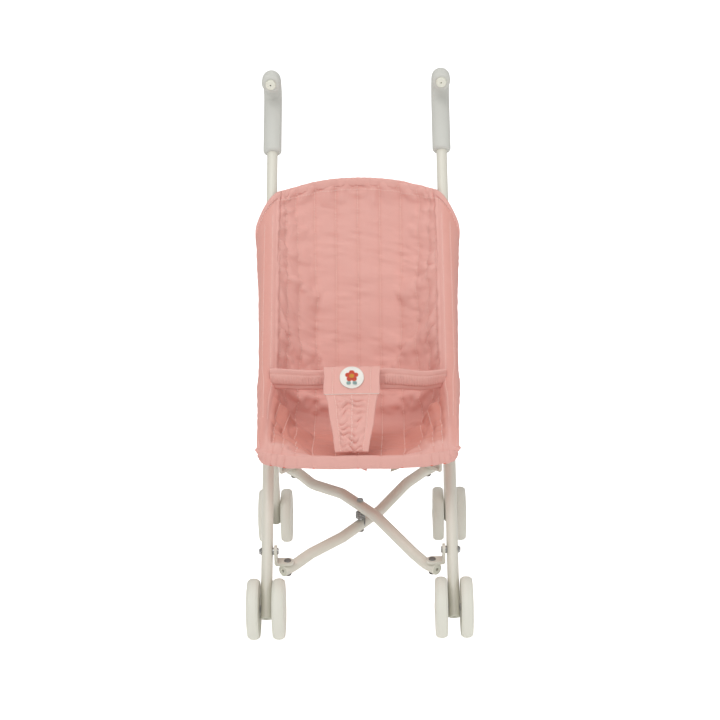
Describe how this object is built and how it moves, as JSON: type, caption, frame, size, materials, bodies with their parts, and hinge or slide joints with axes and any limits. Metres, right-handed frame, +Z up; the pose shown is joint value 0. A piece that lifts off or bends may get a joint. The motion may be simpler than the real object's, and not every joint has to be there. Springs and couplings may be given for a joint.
{
  "type": "doll stroller",
  "caption": "Umbrella-fold toy stroller: leaning handle tubes with foam hooks, X-brace and rear legs on sliders, twin wheels, and a quilted sling seat with waist belt and crotch strap.",
  "frame": {"origin": "on the floor, in the middle of the whole object's width and depth", "axes": "+Z up; -Y towards the front wheels, +Y towards the handles; +X to the right of someone facing the seat from the front"},
  "size_m": [0.2426, 0.3972, 0.5388],
  "materials": {
    "frame_paint": "satin",
    "zinc": "satin",
    "dark_steel": "satin",
    "plug": "satin",
    "foam": "matte",
    "wheel": "matte",
    "pink_fabric": "matte",
    "label": "matte",
    "webbing": "matte"
  },
  "bodies": {
    "left_frame": {"long_tube_left": "frame_paint", "grip_left": "foam", "grip_plug_left": "plug", "front_foot_plug_left": "plug", "front_axle_left": "zinc", "seat_arm_left": "frame_paint", "frame_bolts_left": "zinc", "bracket_spacer_left": "zinc", "seat_sling": "pink_fabric", "waist_belt": "pink_fabric", "crotch_strap": "pink_fabric", "round_label": "label", "strap_tail": "webbing"},
    "right_frame": {"long_tube_right": "frame_paint", "grip_right": "foam", "grip_plug_right": "plug", "front_foot_plug_right": "plug", "front_axle_right": "zinc", "seat_arm_right": "frame_paint", "frame_bolts_right": "zinc", "bracket_spacer_right": "zinc"},
    "left_front_bracket": {"front_bracket_left": "frame_paint"},
    "right_front_bracket": {"front_bracket_right": "frame_paint"},
    "left_rear_bracket": {"rear_bracket_left": "frame_paint"},
    "right_rear_bracket": {"rear_bracket_right": "frame_paint"},
    "brace_low": {"brace_low": "frame_paint", "brace_low_plugs": "plug", "brace_low_rivets": "dark_steel", "pivot_pin": "zinc", "torsion_spring": "zinc"},
    "brace_high": {"brace_high": "frame_paint", "brace_high_plugs": "plug", "brace_high_rivets": "dark_steel"},
    "left_rear_leg": {"rear_leg_left": "frame_paint", "rear_foot_plug_left": "plug", "rear_axle_left": "zinc", "rear_leg_bolts_left": "zinc"},
    "left_slider": {"slider_left": "frame_paint", "slider_pin_left": "dark_steel"},
    "right_rear_leg": {"rear_leg_right": "frame_paint", "rear_foot_plug_right": "plug", "rear_axle_right": "zinc", "rear_leg_bolts_right": "zinc"},
    "right_slider": {"slider_right": "frame_paint", "slider_pin_right": "dark_steel"},
    "front_left_outer_wheel": {"front_wheel_left_outer": "wheel"},
    "front_left_inner_wheel": {"front_wheel_left_inner": "wheel"},
    "front_right_outer_wheel": {"front_wheel_right_outer": "wheel"},
    "front_right_inner_wheel": {"front_wheel_right_inner": "wheel"},
    "rear_left_outer_wheel": {"rear_wheel_left_outer": "wheel"},
    "rear_left_inner_wheel": {"rear_wheel_left_inner": "wheel"},
    "rear_right_outer_wheel": {"rear_wheel_right_outer": "wheel"},
    "rear_right_inner_wheel": {"rear_wheel_right_inner": "wheel"}
  },
  "joints": [
    {"name": "fold", "type": "hinge", "parent": "left_front_bracket", "child": "brace_low", "pos_m": [-0.075, -0.13081, 0.07732], "axis": [0, -0.1045, 0.9945], "range_deg": [0, 36.4], "deforming": ["seat_sling", "waist_belt", "crotch_strap", "round_label", "strap_tail", "torsion_spring"]},
    {"name": "left_front_bracket_tilt", "type": "hinge", "parent": "left_frame", "child": "left_front_bracket", "pos_m": [-0.0898, -0.13103, 0.07941], "axis": [1, 0, 0], "range_deg": [0, 29.02]},
    {"name": "brace_cross", "type": "hinge", "parent": "brace_low", "child": "brace_high", "pos_m": [0, -0.04976, 0.08584], "axis": [0, -0.1045, 0.9945], "range_deg": [-72.82, 0]},
    {"name": "right_front_bracket_swing", "type": "hinge", "parent": "brace_high", "child": "right_front_bracket", "pos_m": [0.075, -0.13081, 0.07732], "axis": [0, -0.1045, 0.9945], "range_deg": [0, 36.42]},
    {"name": "right_frame_tilt", "type": "hinge", "parent": "right_front_bracket", "child": "right_frame", "pos_m": [0.0898, -0.13103, 0.07941], "axis": [1, 0, 0], "range_deg": [-29.02, 0]},
    {"name": "right_rear_bracket_swing", "type": "hinge", "parent": "brace_low", "child": "right_rear_bracket", "pos_m": [0.075, 0.0313, 0.09436], "axis": [0, -0.1045, 0.9945], "range_deg": [-36.42, 0]},
    {"name": "left_rear_bracket_swing", "type": "hinge", "parent": "brace_high", "child": "left_rear_bracket", "pos_m": [-0.075, 0.0313, 0.09436], "axis": [0, -0.1045, 0.9945], "range_deg": [0, 36.42]},
    {"name": "left_rear_leg_swing", "type": "hinge", "parent": "left_rear_bracket", "child": "left_rear_leg", "pos_m": [-0.09778, 0.02053, 0.13938], "axis": [1, 0, 0], "range_deg": [-90.24, 0]},
    {"name": "left_slider_turn", "type": "hinge", "parent": "left_rear_leg", "child": "left_slider", "pos_m": [-0.0958, -0.01793, 0.20041], "axis": [1, 0, 0], "range_deg": [0, 61.24]},
    {"name": "right_rear_leg_swing", "type": "hinge", "parent": "right_rear_bracket", "child": "right_rear_leg", "pos_m": [0.09778, 0.02053, 0.13938], "axis": [1, 0, 0], "range_deg": [-90.24, 0]},
    {"name": "right_slider_turn", "type": "hinge", "parent": "right_rear_leg", "child": "right_slider", "pos_m": [0.0958, -0.01793, 0.20041], "axis": [1, 0, 0], "range_deg": [0, 61.24]},
    {"name": "front_left_outer_wheel_spin", "type": "hinge", "parent": "left_frame", "child": "front_left_outer_wheel", "pos_m": [-0.1087, -0.16732, 0.03125], "axis": [1, 0, 0], "continuous": true},
    {"name": "front_left_inner_wheel_spin", "type": "hinge", "parent": "left_frame", "child": "front_left_inner_wheel", "pos_m": [-0.0829, -0.16732, 0.03125], "axis": [1, 0, 0], "continuous": true},
    {"name": "front_right_outer_wheel_spin", "type": "hinge", "parent": "right_frame", "child": "front_right_outer_wheel", "pos_m": [0.1087, -0.16732, 0.03125], "axis": [1, 0, 0], "continuous": true},
    {"name": "front_right_inner_wheel_spin", "type": "hinge", "parent": "right_frame", "child": "front_right_inner_wheel", "pos_m": [0.0829, -0.16732, 0.03125], "axis": [1, 0, 0], "continuous": true},
    {"name": "rear_left_outer_wheel_spin", "type": "hinge", "parent": "left_rear_leg", "child": "rear_left_outer_wheel", "pos_m": [-0.1142, 0.08868, 0.03125], "axis": [1, 0, 0], "continuous": true},
    {"name": "rear_left_inner_wheel_spin", "type": "hinge", "parent": "left_rear_leg", "child": "rear_left_inner_wheel", "pos_m": [-0.0884, 0.08868, 0.03125], "axis": [1, 0, 0], "continuous": true},
    {"name": "rear_right_outer_wheel_spin", "type": "hinge", "parent": "right_rear_leg", "child": "rear_right_outer_wheel", "pos_m": [0.1142, 0.08868, 0.03125], "axis": [1, 0, 0], "continuous": true},
    {"name": "rear_right_inner_wheel_spin", "type": "hinge", "parent": "right_rear_leg", "child": "rear_right_inner_wheel", "pos_m": [0.0884, 0.08868, 0.03125], "axis": [1, 0, 0], "continuous": true}
  ],
  "couplings": [
    {"joint": "left_front_bracket_tilt", "follows": "fold", "ratio": 0.7967},
    {"joint": "brace_cross", "follows": "fold", "ratio": -2},
    {"joint": "right_front_bracket_swing", "follows": "fold", "ratio": 1},
    {"joint": "right_frame_tilt", "follows": "fold", "ratio": -0.7967},
    {"joint": "right_rear_bracket_swing", "follows": "fold", "ratio": -1},
    {"joint": "left_rear_bracket_swing", "follows": "fold", "ratio": 1},
    {"joint": "left_rear_leg_swing", "follows": "fold", "ratio": -2.4786},
    {"joint": "left_slider_turn", "follows": "fold", "ratio": 1.6819},
    {"joint": "right_rear_leg_swing", "follows": "fold", "ratio": -2.4786},
    {"joint": "right_slider_turn", "follows": "fold", "ratio": 1.6819}
  ]
}
